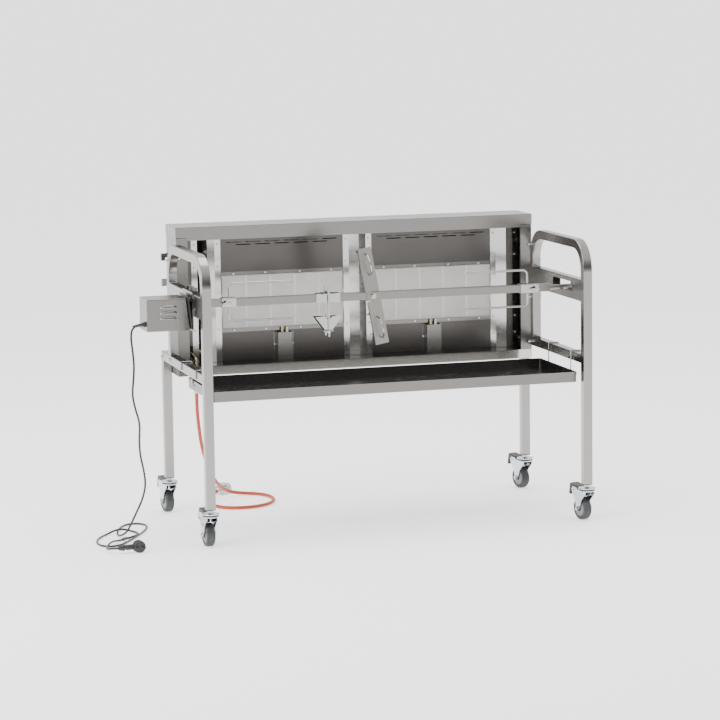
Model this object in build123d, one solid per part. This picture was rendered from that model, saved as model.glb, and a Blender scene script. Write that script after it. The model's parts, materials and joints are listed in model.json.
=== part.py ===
from build123d import *
import math
import os

os.makedirs("parts", exist_ok=True)

# Gas infrared spit roaster on a wheeled stand. Millimetres, +Z up, +X along the spit away from the
# motor, +Y from the open front towards the burners. Everything is laid out in the stand's own frame:
# X = 0 midway between the end frames, Y = 0 at the front legs' front faces, Z = 0 on the floor.
# The last section moves it so that the origin lies on the floor under the middle of the machine.

# ---- driving dimensions ----------------------------------------------------------------------
stand_width = 1300.0          # outside the end frames
tube = 30.0                   # square frame tube
tube_wall = 2.0
tube_edge = 2.5               # outside corner radius of the tube
post_front = 490.0            # rear post's front face
leg_setback = 116.0           # rear leg's front face behind the rear post's front face
hoop_height = 925.0
hoop_radius = 70.0            # inside radius of the hoop's bends
lower_rail_top = 552.0
spit_rail_top = 796.0
spit_rail_height = 70.0
spit_rail_sheet = 2.5
window_front = 105.0          # slots that let the spit stand nearer or further
window_rear = 295.0
window_top = 782.0

spit_y = 198.0
spit_z = 757.0
spit_side = 25.0              # square spit tube
spit_bore = spit_side - 5.0
journal_radius = 8.0
journal_disc_radius = 20.0
journal_disc_thickness = 5.0

running_gap = 0.05            # radial clearance of turning fits
slip_gap = 0.3                # clearance of parts that only pass or slide

cabinet_front = 503.0
cabinet_depth = 150.0
cabinet_bottom = 479.0
cabinet_top = hoop_height + 50.0
cap_height = 35.0
header_height = 10.0
trough_height = 30.0
sheet = 1.2
column_width = 39.0
column_return = 14.0
panel_setback = 93.0          # burner panels behind the cabinet's front edge
burner_middle = 27.0          # burner group sits off centre to leave room for the valves
strip_half = 30.0
strip_depth = 20.0
strip_flange = 20.0

plaque_count = 5
plaque_gap = 6.4
burner_side_room = 104.0      # between one burner and the next, over the strip
plaque_height = 176.0
plaque_thickness = 13.0
plaque_bottom = 621.0
burner_flange = 12.0
burner_depth = 44.0

slot_length = 50.0
slot_height = 3.2
slot_pitch = 66.4
slot_row_drop = 8.5
slot_top_z = 910.0

motor_length = 138.0
motor_standoff = 10.0         # between the end frame and the motor cover
motor_bottom = 680.0
motor_top = 783.0
motor_depth = 112.0
motor_slant = 12.0            # the cover's right end leans, so its top is shorter
motor_plate_sheet = 3.0

tray_end_room = tube + 8.0    # between the outside of the stand and the tray
tray_front = 45.0
tray_rear = 395.0
tray_bottom = 458.0
tray_height = 34.0
hook_wire = 4.0
hook_rows = (110.0, 322.0)

caster_wheel_radius = 37.5
caster_plate_top = 2 * caster_wheel_radius + 36.0
leg_bottom = caster_plate_top + 13.0
caster_wheel_width = 28.0
caster_trail = 26.0
caster_axle_radius = 4.0
fork_gap = 33.0               # between the caster fork's legs
fork_sheet = 2.5

cord_diameter = 7.0
hose_diameter = 12.0

# ---- values worked out from them -------------------------------------------------------------
half = stand_width / 2
inner = half - tube
rear_leg_front = post_front + leg_setback
rail_rear = rear_leg_front + tube
lower_rail_bottom = lower_rail_top - tube
spit_rail_bottom = spit_rail_top - spit_rail_height
window_bottom = spit_z - journal_radius - slip_gap
cabinet_rear = cabinet_front + cabinet_depth
cabinet_half = inner
panel_y = cabinet_front + panel_setback
spit_left = -half + 50.0
spit_right = half - 77.0
motor_right = -half - motor_standoff
motor_left = motor_right - motor_length
tray_length = stand_width - 2 * tray_end_room
strip_pitch = stand_width / 2 - 124.0
plaque_pitch = (strip_pitch - burner_side_room) / plaque_count
plaque_width = plaque_pitch - plaque_gap
trough_top = cabinet_bottom + trough_height
cap_bottom = cabinet_top - cap_height
strip_top = cap_bottom - header_height
strip_middles = [burner_middle + k * strip_pitch for k in (-1, 0, 1)]
bay_middles = [burner_middle - strip_pitch / 2, burner_middle + strip_pitch / 2]
plaque_top = plaque_bottom + plaque_height
motor_front = spit_y - 0.5 * motor_depth
motor_rear = spit_y + 0.5 * motor_depth

nodes = {}


# ---- shared shapes ---------------------------------------------------------------------------
def block(x0, x1, y0, y1, z0, z1):
    middle = Pos((x0 + x1) / 2, (y0 + y1) / 2, (z0 + z1) / 2)
    return middle * Box(abs(x1 - x0), abs(y1 - y0), abs(z1 - z0))


def rod(start, direction, length, radius):
    plane = Plane(origin=start, z_dir=direction)
    return plane * Cylinder(radius, length, align=(Align.CENTER, Align.CENTER, Align.MIN))


def hexagon(start, direction, length, across):
    plane = Plane(origin=start, z_dir=direction)
    return extrude(plane * RegularPolygon(across / 2, 6, major_radius=False), length)


def rounded(shape, axis, radius):
    return fillet(shape.edges().filter_by(axis), radius)


def square_tube(x0, y0, z0, length, axis):
    size = {Axis.Y: (tube, length, tube), Axis.Z: (tube, tube, length)}[axis]
    bar = block(x0, x0 + size[0], y0, y0 + size[1], z0, z0 + size[2])
    bar = rounded(bar, axis, tube_edge)
    grow = {Axis.Y: (0, 1, 0), Axis.Z: (0, 0, 1)}[axis]
    bore = block(
        x0 + tube_wall * (1 - grow[0]), x0 + size[0] - tube_wall * (1 - grow[0]),
        y0 + tube_wall * (1 - grow[1]) - grow[1], y0 + size[1] - tube_wall * (1 - grow[1]) + grow[1],
        z0 + tube_wall * (1 - grow[2]) - grow[2], z0 + size[2] - tube_wall * (1 - grow[2]) + grow[2])
    return bar - bore


def path_tube(points, radii, radius):
    line = FilletPolyline(*points, radius=radii)
    start = Plane(origin=line @ 0, z_dir=line % 0)
    return sweep(start * Circle(radius), path=line)


def cord_radii(name, points):
    radii = []
    for before, corner, after in zip(points, points[1:], points[2:]):
        first = Vector(*corner) - Vector(*before)
        second = Vector(*after) - Vector(*corner)
        turn = math.radians(first.get_angle(second))
        shorter = min(first.length, second.length)
        radii.append(0.45 * shorter / math.tan(turn / 2))
    print(name, "radii", [round(r) for r in radii])
    return radii


def cord_tube(name, points, diameter):
    radii = cord_radii(name, points)
    line = FilletPolyline(*points, radius=radii)
    solid = path_tube(points, radii, diameter / 2)
    expected = math.pi * diameter ** 2 / 4 * line.length
    print(name, "length", round(line.length), "volume ratio", round(solid.volume / expected, 4))
    return solid


# ---- end frames ------------------------------------------------------------------------------
def hoop_band(inset):
    low = leg_bottom - (50 if inset else 0)
    deep = post_front + tube
    outer_face = Pos(deep / 2, (hoop_height - inset + low) / 2) * Rectangle(
        deep - 2 * inset, hoop_height - inset - low)
    outer_face = fillet(outer_face.vertices().group_by(Axis.Y)[-1], hoop_radius + tube - inset)
    top = hoop_height - tube + inset
    hole = Pos((tube + post_front) / 2, (top + low - 100) / 2) * Rectangle(
        post_front - tube + 2 * inset, top - low + 100)
    hole = fillet(hole.vertices().group_by(Axis.Y)[-1], hoop_radius + inset)
    post_end = lower_rail_top - (50 if inset else 0)
    below = Pos(post_front + tube / 2, post_end - 500) * Rectangle(2 * tube, 1000)
    return outer_face - hole - below


def hoop(x0):
    bar = extrude(Plane.YZ.offset(x0) * hoop_band(0), tube)
    ends = (leg_bottom, lower_rail_top)
    long_edges = [e for e in bar.edges()
                  if abs(e.center().X - x0 - tube / 2) > tube / 2 - 0.1
                  and all(abs(e.center().Z - z) > 0.1 for z in ends)]
    bar = fillet(long_edges, tube_edge)
    bore = extrude(Plane.YZ.offset(x0 + tube_wall) * hoop_band(tube_wall), tube - 2 * tube_wall)
    return bar - bore


def spit_rail(x0):
    y0, y1 = tube, post_front
    channel = block(x0, x0 + tube, y0, y1, spit_rail_bottom, spit_rail_top)
    channel = fillet(channel.edges().filter_by(Axis.Y).group_by(Axis.Z)[-1], tube_edge)
    hollow = block(x0 + spit_rail_sheet, x0 + tube - spit_rail_sheet, y0 - 1, y1 + 1,
                   spit_rail_bottom - 1, spit_rail_top - spit_rail_sheet)
    window = block(x0 - 1, x0 + tube + 1, window_front, window_rear, window_bottom, window_top)
    window = rounded(window, Axis.X, 4.0)
    return channel - hollow - window


frame_bolt_places = [(post_front + tube / 2, lower_rail_top - tube / 2),
                     (rail_rear - tube / 2, lower_rail_top - tube / 2),
                     (post_front + tube / 2, 690.0), (post_front + tube / 2, 870.0)]
bolt_radius = 4.0
bolt_hole = bolt_radius + slip_gap
bolt_end = inner - 12.0


def frame_bolt_holes(side):
    return [rod((side * (half + 5), y, z), (-side, 0, 0), half + 5 - bolt_end + 5, bolt_hole)
            for y, z in frame_bolt_places]


for side, name in ((-1, "left"), (1, "right")):
    x0 = inner if side > 0 else -half
    holes = frame_bolt_holes(side)
    nodes[name + "_hoop"] = hoop(x0) - holes
    nodes[name + "_spit_rail"] = spit_rail(x0)
    rail = square_tube(x0, tube, lower_rail_bottom, rail_rear - tube, Axis.Y) - holes
    leg = square_tube(x0, rear_leg_front, leg_bottom, lower_rail_bottom - leg_bottom, Axis.Z)
    nodes[name + "_lower_rail"] = [rail, leg]

bolts = []
for side in (-1, 1):
    for y, z in frame_bolt_places:
        bolt = rod((side * half, y, z), (-side, 0, 0), half - bolt_end, bolt_radius)
        bolts.append(bolt + hexagon((side * half, y, z), (side, 0, 0), 5.5, 13.0))
nodes["frame_bolts"] = bolts

# ---- casters ---------------------------------------------------------------------------------
stem_radius = 5.0
stem_rise = 30.0
plug_depth = 34.0
plug_lip = 3.0
plate_radius = 29.0
plate_thickness = 3.5
bearing_radius = 22.0
bearing_drop = 6.0
fork_top = caster_plate_top - plate_thickness - bearing_drop - slip_gap
pedal_pivot_u = 52.0
pedal_pivot_z = caster_plate_top - 13.0
pin_radius = 3.0
leg_centres = {
    "front_left": (-half + tube / 2, tube / 2, 4.0),
    "front_right": (half - tube / 2, tube / 2, 12.0),
    "rear_left": (-half + tube / 2, rear_leg_front + tube / 2, 7.0),
    "rear_right": (half - tube / 2, rear_leg_front + tube / 2, 15.0)}


def leg_plug(x, y):
    width = tube - 2 * tube_wall - 2 * slip_gap
    body = Pos(x, y, leg_bottom + plug_depth / 2) * Box(width, width, plug_depth)
    lip = Pos(x, y, leg_bottom - plug_lip / 2) * Box(tube - 1, tube - 1, plug_lip)
    bore = rod((x, y, leg_bottom - 5), (0, 0, 1), plug_depth + 10, stem_radius + running_gap)
    return body + rounded(lip, Axis.Z, tube_edge) - bore


def caster_stem():
    top = caster_plate_top
    plate = rod((0, 0, top - plate_thickness), (0, 0, 1), plate_thickness, plate_radius)
    plate = fillet(plate.edges().group_by(Axis.Z)[-1], 1.5)
    ring = rod((0, 0, top - plate_thickness - bearing_drop), (0, 0, 1), bearing_drop, bearing_radius)
    ring = fillet(ring.edges().group_by(Axis.Z)[0], 2.0)
    stem = rod((0, 0, top), (0, 0, 1), leg_bottom + stem_rise - top, stem_radius)
    nut = hexagon((0, 0, top), (0, 0, 1), 6.0, 17.0)
    return plate + ring + stem + nut


def fork_side(v0):
    axle_u, axle_z = caster_trail, caster_wheel_radius
    top = caster_plate_top
    outline = Polyline((-17, fork_top), (32, fork_top), (36, top - 4), (58, top - 4), (64, top - 13),
                       (60, top - 25), (44, top - 45), (axle_u + 9, axle_z + 2), (axle_u, axle_z - 9),
                       (axle_u - 9, axle_z + 2), (6, top - 45), (-17, fork_top - 12), close=True)
    face = make_face(Plane.XZ * outline)
    plate = extrude(face, fork_sheet, dir=(0, 1, 0))
    plate = fillet([e for e in plate.edges().filter_by(Axis.Y)], 3.0)
    plate = Pos(0, v0, 0) * plate
    axle_hole = rod((axle_u, v0 - 5, axle_z), (0, 1, 0), 12, caster_axle_radius + running_gap)
    pin_hole = rod((pedal_pivot_u, v0 - 5, pedal_pivot_z), (0, 1, 0), 12, pin_radius + running_gap)
    return plate - axle_hole - pin_hole


def caster_fork():
    crown = rod((0, 0, fork_top - 3), (0, 0, 1), 3, 24.0)
    bridge = block(-15, 30, -fork_gap / 2 - 0.5, fork_gap / 2 + 0.5, fork_top - 3, fork_top)
    return crown + bridge + fork_side(fork_gap / 2) + fork_side(-fork_gap / 2 - fork_sheet)


def caster_axle():
    reach = fork_gap / 2 + fork_sheet
    bolt = rod((caster_trail, -reach, caster_wheel_radius), (0, 1, 0), 2 * reach + 8, caster_axle_radius)
    head = hexagon((caster_trail, -reach - 5, caster_wheel_radius), (0, 1, 0), 5, 13.0)
    nut = hexagon((caster_trail, reach, caster_wheel_radius), (0, 1, 0), 6.5, 13.0)
    return bolt + head + nut


def caster_wheel():
    width = caster_wheel_width
    start = (caster_trail, -width / 2, caster_wheel_radius)
    tread = rod(start, (0, 1, 0), width, caster_wheel_radius)
    tread = fillet(tread.edges(), 7.0)
    for v in (-width / 2, width / 2 - 3):
        tread -= rod((caster_trail, v, caster_wheel_radius), (0, 1, 0), 3, 26.0)
    boss = rod((caster_trail, -fork_gap / 2 + slip_gap, caster_wheel_radius), (0, 1, 0),
               fork_gap - 2 * slip_gap, 9.0)
    bore = rod((caster_trail, -width, caster_wheel_radius), (0, 1, 0), 2 * width,
               caster_axle_radius + running_gap)
    return tread + boss - bore


def caster_pedal():
    width = fork_gap - 5.0
    pin = rod((pedal_pivot_u, -fork_gap / 2 - fork_sheet, pedal_pivot_z), (0, 1, 0),
              fork_gap + 2 * fork_sheet, pin_radius)
    top = caster_plate_top
    outline = Polyline((31, top + 1), (78, top + 6), (82, top + 1), (88, top - 31), (80, top - 34),
                       (74, top - 15), (62, top - 19), (60, top - 39), (54, top - 41), (50, top - 27),
                       (45, top - 17), (44, top - 4), (31, top - 3), close=True)
    lever = extrude(make_face(Plane.XZ * outline), width / 2, both=True)
    lever = fillet(lever.edges().filter_by(Axis.Y), 1.5)
    return lever + pin


caster_makers = {"stem": [caster_stem], "fork": [caster_fork, caster_axle],
                 "wheel": [caster_wheel], "pedal": [caster_pedal]}
for name, (x, y, swing) in leg_centres.items():
    for piece, makers in caster_makers.items():
        nodes[f"{name}_caster_{piece}"] = [Pos(x, y, 0) * Rot(0, 0, 90 + swing) * maker() for maker in makers]
nodes["leg_plugs"] = [leg_plug(x, y) for x, y, _ in leg_centres.values()]

# ---- cabinet ---------------------------------------------------------------------------------
screw_radius = 2.0
screw_head = 4.0
screw_hole = screw_radius + slip_gap
valve_y = 600.0
valve_levels = (870.0, 785.0)
spindle_radius = 4.0
fitting_x, fitting_y = -inner + 67.0, 540.0
valve_depth = 36.0
cap_screws = [(cabinet_front + d, z) for d, z in
              ((42, cabinet_top - 8), (87, cabinet_top - 8), (131, cabinet_top - 8), (131, cabinet_top - 25))]
strip_screw_rows = (560.0, 617.0, 830.0, 905.0)
burner_screw_offsets = (-170.0, -60.0, 60.0, 170.0)
burner_half = plaque_count * plaque_pitch / 2
shield_half = 26.0
shield_flange = 9.0
shield_top = 602.0


def front_screws():
    places = []
    flange_middle = strip_half + strip_flange / 2
    for middle in strip_middles:
        for offset in (-flange_middle, flange_middle):
            places += [(middle + offset, panel_y - sheet, z) for z in strip_screw_rows]
    for middle in bay_middles:
        for offset in burner_screw_offsets:
            places.append((middle + offset, panel_y - sheet, plaque_top + sheet + burner_flange / 2))
            places.append((middle + offset, panel_y - sheet, plaque_bottom - sheet - burner_flange / 2))
        for offset in (-1, 1):
            x = middle + offset * (shield_half + shield_flange / 2)
            places.append((x, panel_y - sheet, 560.0))
    return places


front_holes = [rod((x, y - 20, z), (0, 1, 0), 40, screw_hole) for x, y, z in front_screws()]
cap_holes = [rod((side * (cabinet_half + 20), y, z), (-side, 0, 0), 40, screw_hole)
             for side in (-1, 1) for y, z in cap_screws]


def cabinet_casing():
    low, high = cabinet_bottom, cabinet_top - sheet - slip_gap
    x1 = cabinet_half
    shape = block(-x1, x1, cabinet_rear - sheet, cabinet_rear, low, high)
    shape += block(-x1, x1, cabinet_rear - 25, cabinet_rear, low, low + sheet)
    for side in (-1, 1):
        shape += block(side * x1, side * (x1 - sheet), cabinet_front, cabinet_rear, low, high)
        inside = x1 - column_width
        column_low = trough_top + slip_gap
        shape += block(side * x1, side * inside, cabinet_front, cabinet_front + sheet,
                       column_low, cap_bottom - 2)
        shape += block(side * inside, side * (inside + sheet), cabinet_front,
                       cabinet_front + column_return, column_low, cap_bottom - 2)
        shape -= frame_bolt_holes(side)
    for z in valve_levels:
        shape -= rod((-x1 - 5, valve_y, z), (1, 0, 0), 10, spindle_radius + 1)
    return shape - cap_holes


def top_cap():
    x1 = cabinet_half + 1.5
    y0, y1 = cabinet_front - 1.5, cabinet_rear + 1.5
    shape = block(-x1, x1, y0, y1, cap_bottom, cabinet_top)
    shape = fillet(shape.edges().group_by(Axis.Z)[-1], 1.5)
    shape -= block(-x1 + sheet, x1 - sheet, y0 + sheet, y1 - sheet, cap_bottom - 1, cabinet_top - sheet)
    shape += block(-cabinet_half + column_width, cabinet_half - column_width, y0 + sheet, y0 + 14,
                   strip_top, strip_top + sheet)
    shape += block(-cabinet_half + column_width, cabinet_half - column_width, y0 + sheet,
                   y0 + 2 * sheet, strip_top, cap_bottom + 8)
    return shape - cap_holes


def bottom_trough():
    x1 = cabinet_half - sheet - slip_gap
    shape = block(-x1, x1, cabinet_front, panel_y - slip_gap, trough_top - sheet, trough_top)
    shape += block(-x1, x1, cabinet_front, cabinet_front + sheet, cabinet_bottom, trough_top)
    shape += block(-x1, x1, cabinet_front, cabinet_front + 12, cabinet_bottom, cabinet_bottom + sheet)
    shape += block(-x1, x1, panel_y - slip_gap - sheet, panel_y - slip_gap, cabinet_bottom + 8, trough_top)
    return shape - rod((fitting_x, fitting_y, cabinet_bottom - 5), (0, 0, 1), 60, 8.0)


def burner_panel(middle, inner_side):
    edge_out = strip_pitch / 2 + strip_half + strip_flange
    edge_in = strip_pitch / 2 - slip_gap
    x0, x1 = middle - edge_in, middle + edge_out
    if inner_side > 0:
        x0, x1 = -cabinet_half + valve_depth + slip_gap, middle + edge_in
    shape = block(x0, x1, panel_y, panel_y + sheet, cabinet_bottom + 8, cap_bottom + 10)
    shape += block(x0, x1, panel_y, cabinet_rear - sheet - slip_gap, cap_bottom + 10 - sheet, cap_bottom + 10)
    shape -= block(fitting_x - 30, fitting_x + 4, panel_y - 5, panel_y + 5, trough_top + 25, trough_top + 58)
    clear = burner_half + sheet + slip_gap
    shape -= block(middle - clear, middle + clear, panel_y - 5, panel_y + 5,
                   plaque_bottom - sheet - 2 * slip_gap, plaque_top + sheet + 2 * slip_gap)
    for row, count in enumerate((6, 5)):
        for k in range(count):
            x = middle + (k - (count - 1) / 2) * slot_pitch
            z = slot_top_z - row * slot_row_drop
            shape -= block(x - slot_length / 2, x + slot_length / 2, panel_y - 5, panel_y + 5,
                           z - slot_height / 2, z + slot_height / 2)
    return shape - front_holes


def reflector_strip(middle):
    y0 = panel_y - sheet
    w, f = strip_half, strip_half + strip_flange
    front = [(-f, 0), (-w, 0), (0, -strip_depth), (w, 0), (f, 0)]
    back = [(x, y + sheet) for x, y in reversed(front)]
    face = make_face(Polyline(*[(middle + x, y0 + y, trough_top + 1) for x, y in front + back], close=True))
    return extrude(face, strip_top - trough_top - 2, dir=(0, 0, 1)) - front_holes


def burner_body(middle):
    bh = burner_half
    y0, y1 = panel_y - sheet, panel_y + burner_depth
    z0, z1 = plaque_bottom - slip_gap, plaque_top + slip_gap
    shell = block(middle - bh - sheet, middle + bh + sheet, y0, y1, z0 - sheet, z1 + sheet)
    shell -= block(middle - bh, middle + bh, y0 - 1, y1 - sheet, z0, z1)
    flange_x = bh + sheet + burner_flange
    flange = block(middle - flange_x, middle + flange_x, y0, y0 + sheet,
                   z0 - sheet - burner_flange, z1 + sheet + burner_flange)
    flange -= block(middle - bh, middle + bh, y0 - 1, y0 + sheet + 1, z0, z1)
    side_room = strip_pitch / 2 - strip_half - strip_flange - slip_gap
    flange &= block(middle - side_room, middle + side_room, y0 - 5, y1, z0 - 50, z1 + 50)
    mixing_tube = rod((middle, panel_y + burner_depth / 2 + 4, plaque_bottom - 46), (0, 0, 1), 46, 14.0)
    mixing_tube -= rod((middle, panel_y + burner_depth / 2 + 4, plaque_bottom - 47), (0, 0, 1), 60, 12.5)
    seat = block(middle - bh, middle + bh, panel_y + plaque_thickness - sheet + 0.4,
                 panel_y + plaque_thickness + 0.8, z0, z0 + 5)
    return shell + flange + mixing_tube + seat - front_holes


def plaques(middle):
    tiles = []
    y0 = panel_y - sheet
    for k in range(plaque_count):
        x = middle + (k - (plaque_count - 1) / 2) * plaque_pitch
        tile = block(x - plaque_width / 2, x + plaque_width / 2, y0, y0 + plaque_thickness,
                     plaque_bottom, plaque_top)
        tiles.append(fillet(tile.edges().filter_by(Axis.Y), 2.0))
    seals = []
    for k in range(plaque_count + 1):
        x0 = middle - burner_half + (0 if k == 0 else k * plaque_pitch - (plaque_pitch - plaque_width) / 2)
        x1 = middle - burner_half + (plaque_count * plaque_pitch if k == plaque_count
                                     else k * plaque_pitch + (plaque_pitch - plaque_width) / 2)
        seals.append(block(x0 + 0.1, x1 - 0.1, y0 + 1.5, y0 + plaque_thickness, plaque_bottom, plaque_top))
    return tiles, seals


def shield_box(middle):
    y0, y1 = panel_y - 28, panel_y
    outer_box = block(middle - shield_half, middle + shield_half, y0, y1, trough_top, shield_top)
    outer_box = fillet(outer_box.edges().filter_by(Axis.Z).group_by(Axis.Y)[0], 3.0)
    shape = outer_box - block(middle - shield_half + sheet, middle + shield_half - sheet, y0 + sheet,
                              y1 + 1, trough_top - 1, shield_top + 1)
    for side in (-1, 1):
        shape += block(middle + side * shield_half, middle + side * (shield_half + shield_flange),
                       y1 - sheet, y1, trough_top, shield_top)
    return shape - front_holes


def flame_sensors(middle):
    y = panel_y - 12
    probe = rod((middle - 8, y, trough_top + 2), (0, 0, 1), 112, 3.0)
    probe += hexagon((middle - 8, y, shield_top - 8), (0, 0, 1), 12, 11.0)
    bracket = block(middle - 20, middle + 20, y - 8, panel_y, shield_top - 14, shield_top - 14 + 1.5)
    spark = rod((middle + 10, y, shield_top - 30), (0, 0, 1), 46, 3.5)
    spark += rod((middle + 10, y, shield_top + 16), (0, 0, 1), 10, 1.0)
    return probe + bracket + spark


pipe_y = panel_y + 26.0
pipe_z = 545.0
pipe_radius = 6.0


def gas_pipe():
    x_end = bay_middles[1]
    points = [(fitting_x, fitting_y, cabinet_bottom - 8), (fitting_x, fitting_y, 530.0),
              (fitting_x - 20, pipe_y, 560.0), (fitting_x - 20, pipe_y, valve_levels[0] + 9)]
    shape = path_tube(points, [14.0, 14.0], pipe_radius)
    turn_x = fitting_x + 12
    feed = [(fitting_x - 20, pipe_y, 600.0), (turn_x, pipe_y, 600.0), (turn_x, pipe_y, pipe_z),
            (x_end, pipe_y, pipe_z)]
    manifold = path_tube(feed, [14.0, 14.0], pipe_radius - 1)
    for middle in bay_middles:
        manifold += rod((middle, pipe_y, pipe_z), (0, 0, 1), plaque_bottom - 44 - pipe_z, 4.0)
        manifold += hexagon((middle, pipe_y, pipe_z - 8), (0, 0, 1), 16, 16.0)
    return shape + manifold


def gas_valve(z):
    body = block(-cabinet_half + sheet + slip_gap, -cabinet_half + valve_depth, valve_y - 11, valve_y + 11,
                 z - 11, z + 11)
    body = fillet(body.edges().filter_by(Axis.X), 3.0)
    link = rod((-cabinet_half + 24, valve_y, z), (0, pipe_y - valve_y, 0), pipe_y - valve_y, 5.0)
    pipe_side = fitting_x - 20 - pipe_radius - running_gap
    link += rod((-cabinet_half + 24, pipe_y, z), (1, 0, 0), pipe_side + cabinet_half - 24, 5.0)
    spindle = rod((-cabinet_half + 2, valve_y, z), (-1, 0, 0), 15, spindle_radius)
    return body + link + spindle


def gas_knob(z):
    x0 = -cabinet_half - 5.0
    skirt = rod((x0, valve_y, z), (-1, 0, 0), 7, 14.0)
    grip = rod((x0 - 7, valve_y, z), (-1, 0, 0), 18, 9.5)
    wing = block(x0 - 25, x0 - 7, valve_y - 3.5, valve_y + 3.5, z - 12, z + 12)
    knob = fillet((skirt + grip).edges().filter_by(GeomType.CIRCLE), 1.0) + wing
    return knob - rod((x0 + 1, valve_y, z), (-1, 0, 0), 10, spindle_radius + running_gap)


def round_screw(start, direction, length):
    head = rod(start, [-d for d in direction], 2.4, screw_head)
    head = fillet(head.edges().sort_by_distance(Vector(*start) - Vector(*direction) * 10)[0], 1.6)
    return head + rod(start, direction, length, screw_radius)


nodes["cabinet_casing"] = cabinet_casing()
nodes["top_cap"] = top_cap()
nodes["bottom_trough"] = bottom_trough()
nodes["left_burner_panel"] = burner_panel(bay_middles[0], 1)
nodes["right_burner_panel"] = burner_panel(bay_middles[1], -1)
nodes["reflector_strips"] = [reflector_strip(middle) for middle in strip_middles]
tile_sets = [plaques(middle) for middle in bay_middles]
for name, middle, (tiles, seals) in zip(("left", "right"), bay_middles, tile_sets):
    nodes[name + "_burner_body"] = burner_body(middle)
    nodes[name + "_burner_plaques"] = tiles + seals
nodes["shield_boxes"] = [shield_box(middle) for middle in bay_middles]
nodes["flame_sensors"] = [flame_sensors(middle) for middle in bay_middles]
nodes["gas_pipe"] = gas_pipe()
nodes["gas_valves"] = [gas_valve(z) for z in valve_levels]
nodes["upper_gas_knob"] = gas_knob(valve_levels[0])
nodes["lower_gas_knob"] = gas_knob(valve_levels[1])
cabinet_screws = [round_screw((x, y, z), (0, 1, 0), 7) for x, y, z in front_screws()]
cap_face = cabinet_half + 1.5
cabinet_screws += [round_screw((side * cap_face, y, z), (-side, 0, 0), 6)
                   for side in (-1, 1) for y, z in cap_screws]
nodes["cabinet_screws"] = cabinet_screws

# ---- spit and what rides on it ---------------------------------------------------------------
collar_side = spit_side + 6.0
prong_radius = 3.6
prong_spread = 60.0
prong_bend = 16.0
left_fork_collar = (spit_left + 57.0, spit_left + 103.0)
left_fork_tip = spit_left + 300.0
right_fork_collar = (spit_right - 105.0, spit_right - 42.0)
right_fork_tip = spit_right - 301.0
clamp_span = (-231.0, -151.0)
brace_span = (-60.0, -18.0)
brace_half_length = 160.0
brace_width = 45.0
brace_tilt = 10.6
hook_middle = 105.0           # from the spit's axis along the brace
hook_pitch = 68.0
hook_reach = 42.0
hook_legs = 100.0             # threaded legs behind the plate
hook_radius = 2.5
sleeve = spit_side + 2 * slip_gap


def spit():
    y0, z0 = spit_y - spit_side / 2, spit_z - spit_side / 2
    bar = block(spit_left, spit_right, y0, y0 + spit_side, z0, z0 + spit_side)
    bar = fillet(bar.edges().filter_by(Axis.X), 2.0)
    bore = block(spit_left - 1, spit_right - 20, spit_y - spit_bore / 2, spit_y + spit_bore / 2,
                 spit_z - spit_bore / 2, spit_z + spit_bore / 2)
    cone = Plane(origin=(spit_right, spit_y, spit_z), z_dir=(1, 0, 0)) * Cone(
        12.0, journal_radius, 14.0, align=(Align.CENTER, Align.CENTER, Align.MIN))
    disc_x = half + 4.0
    journal = rod((spit_right, spit_y, spit_z), (1, 0, 0), disc_x - spit_right, journal_radius)
    disc = rod((disc_x, spit_y, spit_z), (1, 0, 0), journal_disc_thickness, journal_disc_radius)
    return bar - bore + cone + journal + fillet(disc.edges(), 1.2)


def drive_shaft():
    shaft = rod((motor_right - 22, spit_y, spit_z), (1, 0, 0), -inner + 8 - motor_right + 22, journal_radius)
    key = spit_bore - 2 * running_gap
    plug = block(-inner + 8, spit_left + 45, spit_y - key / 2, spit_y + key / 2,
                 spit_z - key / 2, spit_z + key / 2)
    return shaft + fillet(plug.edges().group_by(Axis.X)[-1], 2.0)


def square_collar(x0, x1):
    body = block(x0, x1, spit_y - collar_side / 2, spit_y + collar_side / 2,
                 spit_z - collar_side / 2, spit_z + collar_side / 2)
    body = fillet(body.edges().filter_by(Axis.X), 3.0)
    return body - block(x0 - 1, x1 + 1, spit_y - sleeve / 2, spit_y + sleeve / 2,
                        spit_z - sleeve / 2, spit_z + sleeve / 2)


def fork(collar_span, tip, tap_x):
    shape = square_collar(*collar_span)
    away = 1 if tip > collar_span[0] else -1
    root_x = sum(collar_span) / 2 + away * 4
    for up in (-1, 1):
        start = (root_x, spit_y, spit_z + up * (collar_side / 2 - 1))
        corner = (root_x, spit_y, spit_z + up * prong_spread)
        end = (tip - away * 14, spit_y, spit_z + up * prong_spread)
        shape += path_tube([start, corner, end], [prong_bend], prong_radius)
        shape += Plane(origin=end, z_dir=(away, 0, 0)) * Cone(
            prong_radius, 0.6, 14, align=(Align.CENTER, Align.CENTER, Align.MIN))
    boss = rod((tap_x, spit_y - collar_side / 2 + 1, spit_z), (0, -1, 0), 6, 8.0)
    bore = rod((tap_x, spit_y - collar_side / 2 - 8, spit_z), (0, 1, 0), 12, 3.0 + slip_gap)
    return shape + boss - bore


def wing_screw(x):
    seat_y = spit_y - spit_side / 2 - slip_gap
    face_y = spit_y - collar_side / 2 - 5.0
    stem = rod((x, seat_y, spit_z), (0, -1, 0), seat_y - face_y + 14, 3.0)
    hub = rod((x, face_y - slip_gap, spit_z), (0, -1, 0), 10, 6.0)
    wings = block(x - 15, x + 15, face_y - 13, face_y - 5, spit_z - 2, spit_z + 2)
    wings = fillet(wings.edges().filter_by(Axis.Z), 3.5)
    return stem + hub + wings


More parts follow.
